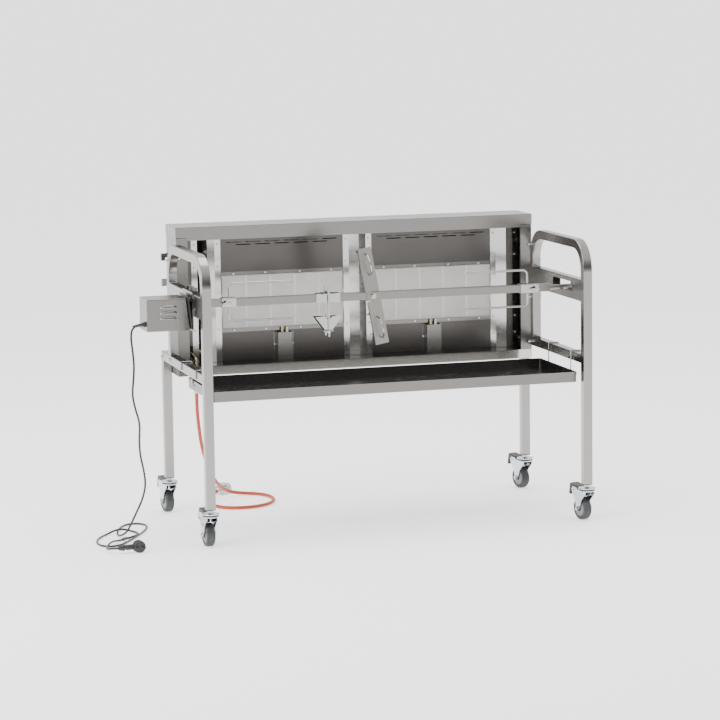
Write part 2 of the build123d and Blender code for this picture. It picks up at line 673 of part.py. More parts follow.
def leg_clamp():
    x0, x1 = clamp_span
    t = 2.5
    s = spit_side / 2 + slip_gap
    saddle = block(x0, x1, spit_y - s - t, spit_y + s + t, spit_z - s - 1, spit_z + s + t)
    saddle -= block(x0 - 1, x1 + 1, spit_y - s, spit_y + s, spit_z - s - 2, spit_z + s)
    saddle -= block((x0 + x1) / 2 - 2, (x0 + x1) / 2 + 2, spit_y - s - t - 1, spit_y - s + 1,
                    spit_z - s - 2, spit_z + s - 4)
    for y in (spit_y - 21, spit_y + 21):
        ear = block(x0 + 18, x1 - 18, min(y - 6, spit_y), max(y + 6, spit_y), spit_z + s, spit_z + s + t)
        ear -= rod(((x0 + x1) / 2, y, spit_z), (0, 0, 1), 60, 3.0 + slip_gap)
        saddle += ear
    saddle -= block(x0 - 1, x1 + 1, spit_y - s, spit_y + s, spit_z - s - 2, spit_z + s)
    return saddle


def clamp_rods():
    x = sum(clamp_span) / 2
    top = spit_z + spit_side / 2 + 22
    pair = []
    for y in (spit_y - 21, spit_y + 21):
        bar = rod((x, y, spit_z - 125), (0, 0, 1), top - spit_z + 125, 3.0)
        bar += hexagon((x, y, spit_z + spit_side / 2 + 2.5 + 2 * slip_gap), (0, 0, 1), 5.0, 10.0)
        bar += hexagon((x, y, spit_z - 113), (0, 0, 1), 6.0, 11.0)
        pair.append(bar)
    return pair


def clamp_plate():
    x = sum(clamp_span) / 2
    z1 = spit_z - 60
    outline = Polyline((x - 45, z1), (x - 12, z1), (x, z1 - 14), (x + 12, z1), (x + 45, z1),
                       (x + 12, z1 - 44), (x - 12, z1 - 44), close=True)
    face = make_face(Plane.XZ * outline)
    cheeks = extrude(face, 2.0, dir=(0, 1, 0))
    shape = Pos(0, spit_y - 17, 0) * cheeks + Pos(0, spit_y + 15, 0) * cheeks
    foot_z = z1 - 44
    shape += block(x - 12, x + 12, spit_y - 30, spit_y + 30, foot_z - 2, foot_z)
    for y in (spit_y - 21, spit_y + 21):
        shape -= rod((x, y, foot_z - 5), (0, 0, 1), 10, 3.0 + slip_gap)
    return shape


def spine_brace():
    x = sum(brace_span) / 2
    shape = square_collar(*brace_span)
    t, flange = 2.0, 11.0
    front = spit_y - collar_side / 2
    for up in (-1, 1):
        start, end = collar_side / 2 - 0.5, brace_half_length
        arm = block(-brace_width / 2, brace_width / 2, front, front + t, start, end)
        for edge in (-1, 1):
            arm += block(edge * brace_width / 2, edge * (brace_width / 2 - t), front, front + flange,
                         start + 4, end)
        for v in (-hook_pitch / 2, hook_pitch / 2):
            arm -= rod((0, front - 5, hook_middle + v), (0, 1, 0), 12, hook_radius + slip_gap)
        if up < 0:
            arm = Rot(0, 180, 0) * arm
        shape += Pos(x, 0, spit_z) * Rot(0, -brace_tilt, 0) * arm
    bore = rod((x, front - 10, spit_z), (0, 1, 0), 14, 4.0 + slip_gap)
    return shape - bore


def wing_nut(y, z):
    hub = rod((0, y, z), (0, 1, 0), 6, 5.0)
    wings = block(-12, 12, y + 1, y + 9, z - 1.5, z + 1.5)
    return hub + fillet(wings.edges().filter_by(Axis.Z), 3.0)


def brace_hooks():
    x = sum(brace_span) / 2
    front = spit_y - collar_side / 2
    low, high = hook_middle - hook_pitch / 2, hook_middle + hook_pitch / 2
    hooks = []
    for up in (-1, 1):
        points = [(0, front + hook_legs, low), (0, front - hook_reach, low),
                  (0, front - hook_reach, high), (0, front + hook_legs, high)]
        hook = path_tube(points, [hook_pitch / 2 - 0.1, hook_pitch / 2 - 0.1], hook_radius)
        for z in (low, high):
            hook += hexagon((0, front + 2 + slip_gap, z), (0, 1, 0), 5, 9.0)
            hook += wing_nut(front + hook_legs - 14, z)
        if up < 0:
            hook = Rot(0, 180, 0) * hook
        hooks.append(Pos(x, 0, spit_z) * Rot(0, -brace_tilt, 0) * hook)
    return hooks


def brace_bolt():
    x = sum(brace_span) / 2
    front = spit_y - collar_side / 2
    shank = rod((x, spit_y - spit_side / 2 - slip_gap, spit_z), (0, -1, 0), 12, 4.0)
    washer = rod((x, front - slip_gap, spit_z), (0, -1, 0), 1.6, 9.0)
    return shank + washer + hexagon((x, front - slip_gap - 1.6, spit_z), (0, -1, 0), 7, 13.0)


nodes["spit"] = spit()
nodes["drive_shaft"] = drive_shaft()
for name, collar, tip, tap_x in (
        ("left_fork", left_fork_collar, left_fork_tip, left_fork_collar[0] + 12),
        ("right_fork", right_fork_collar, right_fork_tip, right_fork_collar[1] - 14)):
    nodes[name] = [fork(collar, tip, tap_x), wing_screw(tap_x)]
nodes["leg_clamp"] = [leg_clamp(), clamp_plate()] + clamp_rods()
nodes["spine_brace"] = spine_brace()
nodes["spine_brace_hooks"] = brace_hooks() + [brace_bolt()]

# ---- motor -----------------------------------------------------------------------------------
gland_y, gland_z = spit_y - 30.0, 702.0
cover_wall = 1.2
louvre_levels = (757.0, 739.0, 721.0)
clamp_bolt_rows = (spit_y - 26.0, spit_y + 26.0)


def motor_cover():
    outline = Polyline((motor_left, motor_bottom), (motor_right, motor_bottom),
                       (motor_right - motor_slant, motor_top), (motor_left, motor_top), close=True)
    face = make_face(Plane.XZ.offset(-motor_rear) * outline)
    body = extrude(face, motor_depth, dir=(0, -1, 0))
    body = fillet(body.edges().filter_by(Axis.X), 3.0)
    inside = Polyline((motor_left + cover_wall, motor_bottom + cover_wall),
                      (motor_right + 20, motor_bottom + cover_wall), (motor_right + 20, motor_top - cover_wall),
                      (motor_left + cover_wall, motor_top - cover_wall), close=True)
    inside_face = make_face(Plane.XZ.offset(-motor_rear + cover_wall) * inside)
    body -= extrude(inside_face, motor_depth - 2 * cover_wall, dir=(0, -1, 0))
    for z in louvre_levels:
        for y in (motor_front, motor_rear):
            body -= block(motor_left + 42, motor_left + 106, y - 5, y + 5, z - 2, z + 2)
    return body - rod((motor_left - 5, gland_y, gland_z), (1, 0, 0), 12, 6.0 + slip_gap)


def motor_plate():
    x0, x1 = -half - motor_plate_sheet - slip_gap, -half - slip_gap
    plate = block(x0, x1, motor_front - 14, motor_rear + 14, motor_bottom - 2, spit_rail_top + 6)
    plate = rounded(plate, Axis.X, 6.0)
    lip = block(x0, -inner - 4, motor_front + 8, motor_rear - 8, spit_rail_top + slip_gap, spit_rail_top + 3.3)
    plate += lip
    y0, y1 = motor_front + 18, motor_rear - 18
    low, high = motor_bottom + cover_wall + slip_gap, motor_top - cover_wall - slip_gap
    plate += block(x0, motor_right - 24, y0, y1, low, low + 3)
    plate += block(x0, motor_right - 24, y0, y1, high - 3, high)
    plate -= rod((x0 - 5, spit_y, spit_z), (1, 0, 0), 12, journal_radius + 1.0)
    for y in clamp_bolt_rows:
        plate -= rod((-half + 12, y, spit_rail_top - 5), (0, 0, 1), 20, 3.0 + slip_gap)
    return plate


def rail_clamp_screw(y):
    x = -half + 12
    stem = rod((x, y, spit_rail_top + slip_gap), (0, 0, 1), 20, 3.0)
    hub = rod((x, y, spit_rail_top + 3.6), (0, 0, 1), 7, 6.0)
    wings = block(x - 14, x + 14, y - 2, y + 2, spit_rail_top + 6, spit_rail_top + 16)
    return stem + hub + fillet(wings.edges().filter_by(Axis.Y), 4.0)


def gear_motor():
    x1 = motor_right - 4
    gearbox = block(x1 - 58, x1, spit_y - 38, spit_y + 38, motor_bottom + 18, motor_top - 14)
    gearbox = fillet(gearbox.edges().filter_by(Axis.X), 8.0)
    can = rod((x1 - 58, spit_y + 4, motor_bottom + 46), (-1, 0, 0), 58, 26.0)
    stack = block(x1 - 104, x1 - 70, spit_y - 32, spit_y + 40, motor_bottom + 12, motor_bottom + 80)
    shape = gearbox + can + stack
    return shape - rod((motor_right - 23, spit_y, spit_z), (1, 0, 0), 60, journal_radius + running_gap)


def cord_gland():
    x0 = motor_left
    body = rod((x0 + 6, gland_y, gland_z), (-1, 0, 0), 18, 6.0)
    nut = hexagon((x0, gland_y, gland_z), (-1, 0, 0), 6, 16.0)
    return body + nut


nodes["motor_cover"] = motor_cover()
nodes["motor_plate"] = [motor_plate()] + [rail_clamp_screw(y) for y in clamp_bolt_rows]
nodes["gear_motor"] = gear_motor()
nodes["cord_gland"] = cord_gland()

# ---- drip tray -------------------------------------------------------------------------------
tray_sheet = 1.2
tray_flange = 10.0
hook_gap = 0.3


def drip_tray():
    x1 = tray_length / 2
    z1 = tray_bottom + tray_height
    pan = block(-x1, x1, tray_front, tray_rear, tray_bottom, z1)
    pan = fillet(pan.edges().filter_by(Axis.Z), 6.0)
    pan = fillet(pan.edges().group_by(Axis.Z)[0], 2.5)
    hollow = block(-x1 + tray_sheet, x1 - tray_sheet, tray_front + tray_sheet, tray_rear - tray_sheet,
                   tray_bottom + tray_sheet, z1 + 1)
    hollow = fillet(hollow.edges().filter_by(Axis.Z), 5.0)
    pan -= hollow
    rim = block(-x1 - 1.5, x1 + 1.5, tray_front - 1.5, tray_rear + 1.5, z1 - tray_flange, z1)
    rim = fillet(rim.edges().filter_by(Axis.Z), 7.0)
    rim -= fillet(block(-x1 + tray_sheet, x1 - tray_sheet, tray_front + tray_sheet, tray_rear - tray_sheet,
                        z1 - 20, z1 + 20).edges().filter_by(Axis.Z), 5.0)
    return pan + rim


def tray_hook(side, y):
    r = hook_wire / 2
    near = side * (tray_length / 2 + 1.5 + r + 0.1)
    far = side * (half + r + hook_gap)
    low = tray_bottom + tray_height - 20
    top = lower_rail_top + r + hook_gap
    points = [(near, y, low), (near, y, top), (far, y, top), (far, y, lower_rail_bottom + 6)]
    return path_tube(points, [3.2, 3.2], r)


nodes["drip_tray"] = drip_tray()
nodes["tray_hooks"] = [tray_hook(side, y) for side in (-1, 1) for y in hook_rows]

# ---- power cord, hose and regulator ----------------------------------------------------------
cord_start = (motor_left - 12.0, gland_y, gland_z)
cord_offsets = [              # from the gland across the floor, and height above it
    (-22.5, 0, 702), (-32.4, 0, 698.4), (-40.4, -1, 691.7), (-45.6, -2, 682.6), (-47.4, -3, 672),
    (-48, -4, 654), (-45, -7, 622), (-42, -12, 577), (-46, -16, 529), (-52, -18, 482),
    (-43, -17, 436), (-28, -14, 388), (-31, -8, 336), (-28, -2, 284), (-16, 4, 234),
    (-9, 12, 184), (-18, 22, 138), (-35, 34, 96), (-51, 46, 58), (-60, 56, 22.3)]
cord_route = [cord_start] + [(motor_left + u, gland_y + v, z) for u, v, z in cord_offsets]
bundle_thickness = 3 * cord_diameter
bundle_centre = (motor_left - 77.0, 215.0)
bundle_length = 490.0
bundle_width = 125.0
bundle_turn = 70.5
plug_middle = (motor_left - 68.0, 22.0)
plug_arm = 62.0
plug_turn = 10.0
plug_radius = 19.0
pin_pitch = 19.0
pin_length = 19.0

nodes["power_cord"] = cord_tube("power cord", cord_route, cord_diameter)


def cord_bundle():
    outline = Ellipse(bundle_length / 2, bundle_width / 2)
    slab = extrude(outline, bundle_thickness)
    return Pos(bundle_centre[0], bundle_centre[1], 0) * Rot(0, 0, bundle_turn) * slab


def power_plug():
    # Local frame: the pins point along -Y and the lead leaves along -X.
    body = rod((0, 13, plug_radius), (0, -1, 0), 26, plug_radius)
    body = fillet(body.edges(), 3.0) + rod((0, 4, plug_radius), (-1, 0, 0), plug_arm, 9.0)
    for x in (-pin_pitch / 2, pin_pitch / 2):
        body += rod((x, -13, plug_radius), (0, -1, 0), pin_length, 2.4)
    return Pos(plug_middle[0], plug_middle[1], 0) * Rot(0, 0, plug_turn) * body


nodes["power_cord_loops"] = cord_bundle()
nodes["power_plug"] = power_plug() - cord_bundle()

hose_top = cabinet_bottom - 42.0
hose_offsets = [              # from the fitting across the floor, and height above it
    (2, 6, 352), (10, 20, 296), (21, 42, 240), (39, 76, 188), (64, 124, 136),
    (93, 178, 90), (128, 234, 50), (165, 282, 22), (208, 300, 10), (253, 292, 7),
    (287, 261, 7), (303, 213, 7), (301, 157, 7), (280, 105, 7), (240, 66, 7),
    (187, 47, 7), (137, 52, 7), (98, 76, 7), (79, 118, 7), (77, 174, 7),
    (92, 230, 11), (116, 278, 20), (140, 316, 20)]
hose_route = [(fitting_x, fitting_y, hose_top), (fitting_x, fitting_y, 402)]
hose_route += [(fitting_x + u, fitting_y + v, z) for u, v, z in hose_offsets]
nodes["gas_hose"] = cord_tube("gas hose", hose_route, hose_diameter)


def hose_fitting():
    x, y = fitting_x, fitting_y
    top = cabinet_bottom - 8
    shape = hexagon((x, y, top - 16), (0, 0, 1), 16, 22.0)
    shape += hexagon((x, y, hose_top), (0, 0, 1), 14, 19.0)
    return shape + rod((x, y, hose_top), (0, 0, 1), top - hose_top, 7.0)


regulator_end = hose_route[-1]


def regulator():
    # Local frame: +X away from the hose end, +Z up, the hose end at the origin.
    shape = hexagon((0, 0, 0), (1, 0, 0), 16, 18.0)
    shape += rod((10, 0, 0), (1, 0, 0), 20, 8.0)
    dome = rod((52, 0, -20), (0, 0, 1), 26, 29.0)
    dome = fillet(dome.edges(), 4.0)
    cap = fillet(rod((52, 0, 4), (0, 0, 1), 12, 20.0).edges().group_by(Axis.Z)[-1], 4.0)
    nut = hexagon((80, 0, -4), (1, 0, 0), 24, 24.0)
    shape += dome + cap + nut
    turn = math.degrees(math.atan2(hose_route[-1][1] - hose_route[-2][1],
                                   hose_route[-1][0] - hose_route[-2][0]))
    return Pos(*regulator_end) * Rot(0, 0, turn) * shape


nodes["hose_fitting"] = hose_fitting()
nodes["gas_regulator"] = regulator()

# ---- write the nodes about the origin on the floor under the machine's middle ----------------
cord_nodes = ("power_cord", "power_cord_loops", "power_plug", "cord_gland",
              "gas_hose", "hose_fitting", "gas_regulator")
solids = {}
for name, shape in nodes.items():
    pieces = shape if isinstance(shape, list) else [shape]
    solids[name] = [solid for piece in pieces for solid in piece.solids()]
boxes = [solid.bounding_box() for name in solids if name not in cord_nodes for solid in solids[name]]
middle_x = (min(box.min.X for box in boxes) + max(box.max.X for box in boxes)) / 2
middle_y = (min(box.min.Y for box in boxes) + max(box.max.Y for box in boxes)) / 2
print("nodes", len(nodes), "origin in the stand's frame", round(middle_x, 4), round(middle_y, 4),
      "lowest", round(min(box.min.Z for box in boxes), 4))
for name, pieces in solids.items():
    moved = [Pos(-middle_x, -middle_y, 0) * piece for piece in pieces]
    export_step(moved[0] if len(moved) == 1 else Compound(moved), f"parts/{name}.step")
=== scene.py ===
import json
import math
import random

import bmesh
import bpy
from mathutils import Matrix, Vector


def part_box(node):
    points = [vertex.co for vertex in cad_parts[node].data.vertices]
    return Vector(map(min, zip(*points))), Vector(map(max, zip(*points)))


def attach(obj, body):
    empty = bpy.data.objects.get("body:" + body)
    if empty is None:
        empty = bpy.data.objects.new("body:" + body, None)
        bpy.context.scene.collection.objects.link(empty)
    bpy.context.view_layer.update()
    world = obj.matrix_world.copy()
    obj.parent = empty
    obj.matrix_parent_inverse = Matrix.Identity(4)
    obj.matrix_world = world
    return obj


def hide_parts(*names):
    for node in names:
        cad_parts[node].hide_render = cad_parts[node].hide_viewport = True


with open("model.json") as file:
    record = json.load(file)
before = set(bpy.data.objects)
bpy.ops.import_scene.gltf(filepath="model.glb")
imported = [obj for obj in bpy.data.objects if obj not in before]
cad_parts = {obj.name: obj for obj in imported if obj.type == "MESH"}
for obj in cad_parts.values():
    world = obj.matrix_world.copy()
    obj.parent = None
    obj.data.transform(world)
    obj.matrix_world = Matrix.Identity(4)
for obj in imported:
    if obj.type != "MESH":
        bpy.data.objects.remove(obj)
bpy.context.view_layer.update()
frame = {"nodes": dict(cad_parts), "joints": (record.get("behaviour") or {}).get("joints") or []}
nodes = frame["nodes"]
random.seed(7)
print("frame loaded:", len(nodes), "nodes")

# The stand's own zero is the left end frame's outer front corner, half a stand width to the right.
standHalf = 0.65
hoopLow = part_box("left_hoop")[0]
shift = Vector((hoopLow.x + standHalf, hoopLow.y, 0))


def at(x, y, z):
    return Vector((x, y, z)) + shift


def jointPlace(name):
    joint = next(j for j in frame["joints"] if j["name"] == name)
    return Vector(joint["pos_m"]), Vector(joint["axis"]).normalized()


# ---- shaders: a small wrapper, so that shader sums read as sums
class Value:
    def __init__(self, shader, socket):
        self.shader = shader
        self.socket = socket

    def sum(self, operation, *values):
        return self.shader.add("ShaderNodeMath", {"operation": operation}, dict(enumerate(values)))

    def __add__(self, other):
        return self.sum("ADD", self, other)

    def __radd__(self, other):
        return self.sum("ADD", other, self)

    def __sub__(self, other):
        return self.sum("SUBTRACT", self, other)

    def __rsub__(self, other):
        return self.sum("SUBTRACT", other, self)

    def __mul__(self, other):
        return self.sum("MULTIPLY", self, other)

    def wave(self):
        return self.sum("SINE", self)

    def above(self, limit):
        return self.sum("GREATER_THAN", self, limit)

    def within(self, low, high):
        sockets = {"Value": self, "From Min": low, "From Max": high}
        return self.shader.add("ShaderNodeMapRange", {"clamp": True}, sockets)


class Shader:
    def __init__(self, name, roughness=0.5, metallic=0.0):
        self.material = bpy.data.materials.new(name)
        self.material.use_nodes = True
        self.tree = self.material.node_tree
        self.surface = self.tree.nodes["Principled BSDF"]
        self.feed(Roughness=roughness, Metallic=metallic)

    def add(self, kind, settings=None, sockets=None, out=0):
        node = self.tree.nodes.new(kind)
        for name, value in (settings or {}).items():
            setattr(node, name, value)
        for key, value in (sockets or {}).items():
            self.plug(node.inputs[key], value)
        return Value(self, node.outputs[out])

    def plug(self, socket, value):
        if isinstance(value, Value):
            self.tree.links.new(value.socket, socket)
        else:
            socket.default_value = value

    def feed(self, **sockets):
        for name, value in sockets.items():
            self.plug(self.surface.inputs[name.replace("_", " ")], value)

    def place(self, scale=(1, 1, 1)):
        spot = self.add("ShaderNodeTexCoord", out="Object")
        return self.add("ShaderNodeMapping", {}, {"Vector": spot, "Scale": scale})

    def axes(self, place):
        split = self.add("ShaderNodeSeparateXYZ", {}, {"Vector": place})
        node = split.socket.node
        return [Value(self, node.outputs[k]) for k in range(3)]

    def noise(self, place, scale, detail=3.0, roughness=0.5):
        sockets = {"Vector": place, "Scale": scale, "Detail": detail, "Roughness": roughness}
        return self.add("ShaderNodeTexNoise", {}, sockets, "Fac")

    def mix(self, factor, dark, light):
        colours = {0: factor, 6: asColour(dark), 7: asColour(light)}
        return self.add("ShaderNodeMix", {"data_type": "RGBA"}, colours, 2)

    def bump(self, height, distance, strength=1.0):
        sockets = {"Height": height, "Distance": distance, "Strength": strength}
        self.feed(Normal=self.add("ShaderNodeBump", {}, sockets, "Normal"))


def asColour(value):
    return value if isinstance(value, Value) else (*value, 1.0)


def brushedSteel(name, tone, gloss, grain, wear=0.06, depth=0.00004):
    shader = Shader(name, metallic=1.0)
    streaks = shader.noise(shader.place(grain), 260.0, 5.0, 0.65)
    clouds = shader.noise(shader.place(), 3.2, 4.0, 0.6)
    smears = shader.noise(shader.place(), 22.0, 3.0, 0.6)
    dark = [t * (1 - wear) for t in tone]
    light = [min(1.0, t * (1 + wear)) for t in tone]
    shader.feed(Base_Color=shader.mix(streaks * 0.5 + clouds * 0.5, dark, light))
    shader.feed(Roughness=gloss + (streaks - 0.5) * 0.10 + (clouds - 0.5) * 0.08 + (smears - 0.5) * 0.06)
    shader.bump(streaks, depth, 0.35)
    return shader.material


def brightSteel(name, tone, gloss):
    shader = Shader(name, metallic=1.0)
    waves = shader.noise(shader.place(), 5.0, 2.0, 0.4)
    marks = shader.noise(shader.place((1, 1, 6)), 40.0, 4.0, 0.7)
    dark = [t * 0.93 for t in tone]
    shader.feed(Base_Color=shader.mix(marks, dark, tone), Roughness=gloss + (marks - 0.5) * 0.12)
    shader.bump(waves, 0.0012, 0.25)
    return shader.material


def platedZinc(name, tone, gloss):
    shader = Shader(name, metallic=1.0)
    spangle = shader.noise(shader.place(), 90.0, 3.0, 0.6)
    blue = [tone[0] * 0.88, tone[1] * 0.95, tone[2]]
    shader.feed(Base_Color=shader.mix(spangle, blue, tone), Roughness=gloss + (spangle - 0.5) * 0.16)
    shader.bump(spangle, 0.0001, 0.3)
    return shader.material


def mouldedPlastic(name, tone, gloss, grainSize=900.0, depth=0.00008):
    shader = Shader(name)
    grain = shader.noise(shader.place(), grainSize, 2.0, 0.5)
    dust = shader.noise(shader.place(), 26.0, 4.0, 0.65)
    light = [t + 0.035 for t in tone]
    shader.feed(Base_Color=shader.mix(dust, tone, light), Roughness=gloss + (dust - 0.5) * 0.18)
    shader.feed(Specular_IOR_Level=0.45)
    shader.bump(grain, depth, 0.5)
    return shader.material


def tyreRubber():
    shader = Shader("tyreRubber")
    dust = shader.noise(shader.place(), 55.0, 5.0, 0.7)
    grain = shader.noise(shader.place(), 700.0, 2.0, 0.5)
    shader.feed(Base_Color=shader.mix(dust.within(0.35, 0.8), (0.022, 0.024, 0.026), (0.095, 0.098, 0.10)))
    shader.feed(Roughness=0.52 + (dust - 0.5) * 0.3, Specular_IOR_Level=0.4)
    shader.bump(grain, 0.0001, 0.4)
    return shader.material


def firedCeramic():
    # Rows of small burner holes, darkened with painted shade against the face between them.
    # The seals between the plaques are paler and lie a little deeper than the plaques' faces.
    shader = Shader("firedCeramic", 0.85)
    holePitch = 0.0042
    sealFront = at(0, 0.5955, 0).y
    x, y, z = shader.axes(shader.place())
    seam = y.above(sealFront)
    around = 2 * math.pi / holePitch
    holes = ((x * around).wave() * (z * around).wave()).within(0.25, 0.9)
    stains = shader.noise(shader.place(), 9.0, 4.0, 0.6)
    face = shader.mix(stains.within(0.3, 0.75), (0.66, 0.64, 0.61), (0.80, 0.79, 0.77))
    # The holes' dark colour is painted shade in the recesses, not the ceramic's own colour.
    holeShaded = shader.mix(holes * 0.45, face, (0.20, 0.19, 0.175))
    shader.feed(Base_Color=shader.mix(seam, holeShaded, (0.88, 0.87, 0.85)))
    shader.bump(1 - holes, 0.0006, 0.6)
    return shader.material


def hoseRubber():
    shader = Shader("hoseRubber")
    scuff = shader.noise(shader.place(), 60.0, 5.0, 0.7)
    weave = shader.noise(shader.place(), 420.0, 2.0, 0.5)
    shader.feed(Base_Color=shader.mix(scuff, (0.40, 0.040, 0.012), (0.54, 0.080, 0.028)))
    shader.feed(Roughness=0.42 + (scuff - 0.5) * 0.25)
    shader.bump(weave, 0.0002, 0.35)
    return shader.material


materials = {
    "frame": brushedSteel("frameSteel", (0.30, 0.288, 0.276), 0.22, (1, 1, 0.05)),
    "rail": brushedSteel("railSteel", (0.30, 0.288, 0.276), 0.22, (1, 0.05, 1)),
    "panel": brushedSteel("panelSteel", (0.105, 0.098, 0.092), 0.24, (0.03, 1, 1), 0.10),
    "casing": brushedSteel("casingSteel", (0.20, 0.19, 0.18), 0.24, (0.03, 1, 1)),
    "bright": brightSteel("brightSteel", (0.56, 0.55, 0.535), 0.12),
    "spit": brushedSteel("spitSteel", (0.25, 0.235, 0.222), 0.32, (0.04, 1, 1), 0.10),
    "motor": brushedSteel("motorCoverSteel", (0.20, 0.19, 0.18), 0.26, (1, 1, 0.05)),
    "tray": brushedSteel("traySteel", (0.20, 0.19, 0.18), 0.26, (0.03, 1, 1), 0.09),
    "cap": brushedSteel("capSteel", (0.22, 0.21, 0.20), 0.22, (0.03, 1, 1)),
    "hook": brightSteel("hookSteel", (0.44, 0.44, 0.43), 0.16),
    "zinc": platedZinc("zincPlate", (0.66, 0.68, 0.70), 0.18),
    "screw": platedZinc("screwPlate", (0.72, 0.72, 0.71), 0.24),
    "brass": platedZinc("machinedBrass", (0.74, 0.56, 0.30), 0.26),
    "castMetal": platedZinc("castRegulator", (0.60, 0.60, 0.59), 0.38),
    "ceramic": firedCeramic(),
    "whiteCeramic": mouldedPlastic("whiteCeramic", (0.78, 0.77, 0.74), 0.25),
    "tyre": tyreRubber(),
    "black": mouldedPlastic("blackPlastic", (0.014, 0.014, 0.015), 0.42),
    "grey": mouldedPlastic("greyPlastic", (0.22, 0.22, 0.225), 0.45),
    "cord": mouldedPlastic("cordJacket", (0.012, 0.012, 0.013), 0.32, 500.0, 0.00004),
    "hose": hoseRubber(),
    "casting": mouldedPlastic("paintedCasting", (0.10, 0.105, 0.11), 0.50),
}

nodeFinish = {
    "frame": ["left_hoop", "right_hoop"],
    "rail": ["left_spit_rail", "right_spit_rail", "left_lower_rail", "right_lower_rail"],
    "panel": ["left_burner_panel", "right_burner_panel"],
    "casing": ["cabinet_casing", "motor_plate"],
    "cap": ["top_cap", "shield_boxes", "left_burner_body", "right_burner_body"],
    "bright": ["bottom_trough", "reflector_strips"],
    "spit": ["spit", "drive_shaft", "spine_brace"],
    "hook": ["left_fork", "right_fork", "leg_clamp", "spine_brace_hooks", "tray_hooks"],
    "motor": ["motor_cover"],
    "tray": ["drip_tray"],
    "zinc": [name for name in nodes if name.endswith(("caster_stem", "caster_fork"))],
    "screw": ["frame_bolts", "cabinet_screws"],
    "brass": ["gas_pipe", "flame_sensors", "gas_valves", "hose_fitting"],
    "castMetal": ["gas_regulator"],
    "ceramic": ["left_burner_plaques", "right_burner_plaques"],
    "tyre": [name for name in nodes if name.endswith("caster_wheel")],
    "black": ["leg_plugs", "upper_gas_knob", "cord_gland", "power_plug"]
             + [name for name in nodes if name.endswith("caster_pedal")],
    "grey": ["lower_gas_knob"],
    "casting": ["gear_motor"],
}
for finish, members in nodeFinish.items():
    for name in members:
        mesh = nodes[name].data
        mesh.materials.clear()
        mesh.materials.append(materials[finish])
print("materials on", sum(len(members) for members in nodeFinish.values()), "nodes")


# ---- piece makers
def pieceFrom(bm, name, finish, body, smooth=True):
    mesh = bpy.data.meshes.new(name)
    bm.to_mesh(mesh)
    bm.free()
    for face in mesh.polygons:
        face.use_smooth = smooth
    mesh.materials.append(materials[finish])
    piece = bpy.data.objects.new(name, mesh)
    bpy.context.scene.collection.objects.link(piece)
    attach(piece, body)
    return piece


def aim(centre, direction):
    turn = Vector((0, 0, 1)).rotation_difference(Vector(direction)).to_matrix().to_4x4()
    return Matrix.Translation(centre) @ turn


def merge(bm, part, placing):
    # Moves a finished shape to its place and adds it to the piece.
    bmesh.ops.transform(part, matrix=placing, verts=part.verts)
    mesh = bpy.data.meshes.new("part")
    part.to_mesh(mesh)
    part.free()
    bm.from_mesh(mesh)
    bpy.data.meshes.remove(mesh)


def spinInto(bm, profile, placing, steps=40):
    # The profile is pairs of radius and height, and is either closed or starts and ends on the axis.
    part = bmesh.new()
    verts = [part.verts.new((radius, 0, height)) for radius, height in profile]
    edges = [part.edges.new(pair) for pair in zip(verts, verts[1:])]
    bmesh.ops.spin(part, geom=verts + edges, cent=(0, 0, 0), axis=(0, 0, 1), dvec=(0, 0, 0),
                   angle=2 * math.pi, steps=steps, use_merge=True)
    bmesh.ops.remove_doubles(part, verts=part.verts, dist=1e-6)
    bmesh.ops.recalc_face_normals(part, faces=part.faces)
    merge(bm, part, placing)


def blockInto(bm, low, high, edge=0.0006, placing=None):
    part = bmesh.new()
    bmesh.ops.create_cube(part, size=1.0)
    bmesh.ops.scale(part, vec=Vector(high) - Vector(low), verts=part.verts)
    bmesh.ops.translate(part, vec=(Vector(high) + Vector(low)) / 2, verts=part.verts)
    bmesh.ops.bevel(part, geom=part.edges, offset=edge, offset_type="OFFSET", segments=2, profile=0.5,
                    affect="EDGES", material=-1)
    merge(bm, part, placing or Matrix())


def routeCurve(name, points, radius, finish, body, order=3):
    curve = bpy.data.curves.new(name, "CURVE")
    curve.dimensions = "3D"
    curve.bevel_depth = radius
    curve.bevel_resolution = 5
    curve.resolution_u = 10
    curve.use_fill_caps = True
    spline = curve.splines.new("NURBS")
    spline.points.add(len(points) - 1)
    for point, place in zip(spline.points, points):
        point.co = (*place, 1)
    spline.order_u = order
    spline.use_endpoint_u = True
    curve.materials.append(materials[finish])
    piece = bpy.data.objects.new(name, curve)
    bpy.context.scene.collection.objects.link(piece)
    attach(piece, body)
    return piece


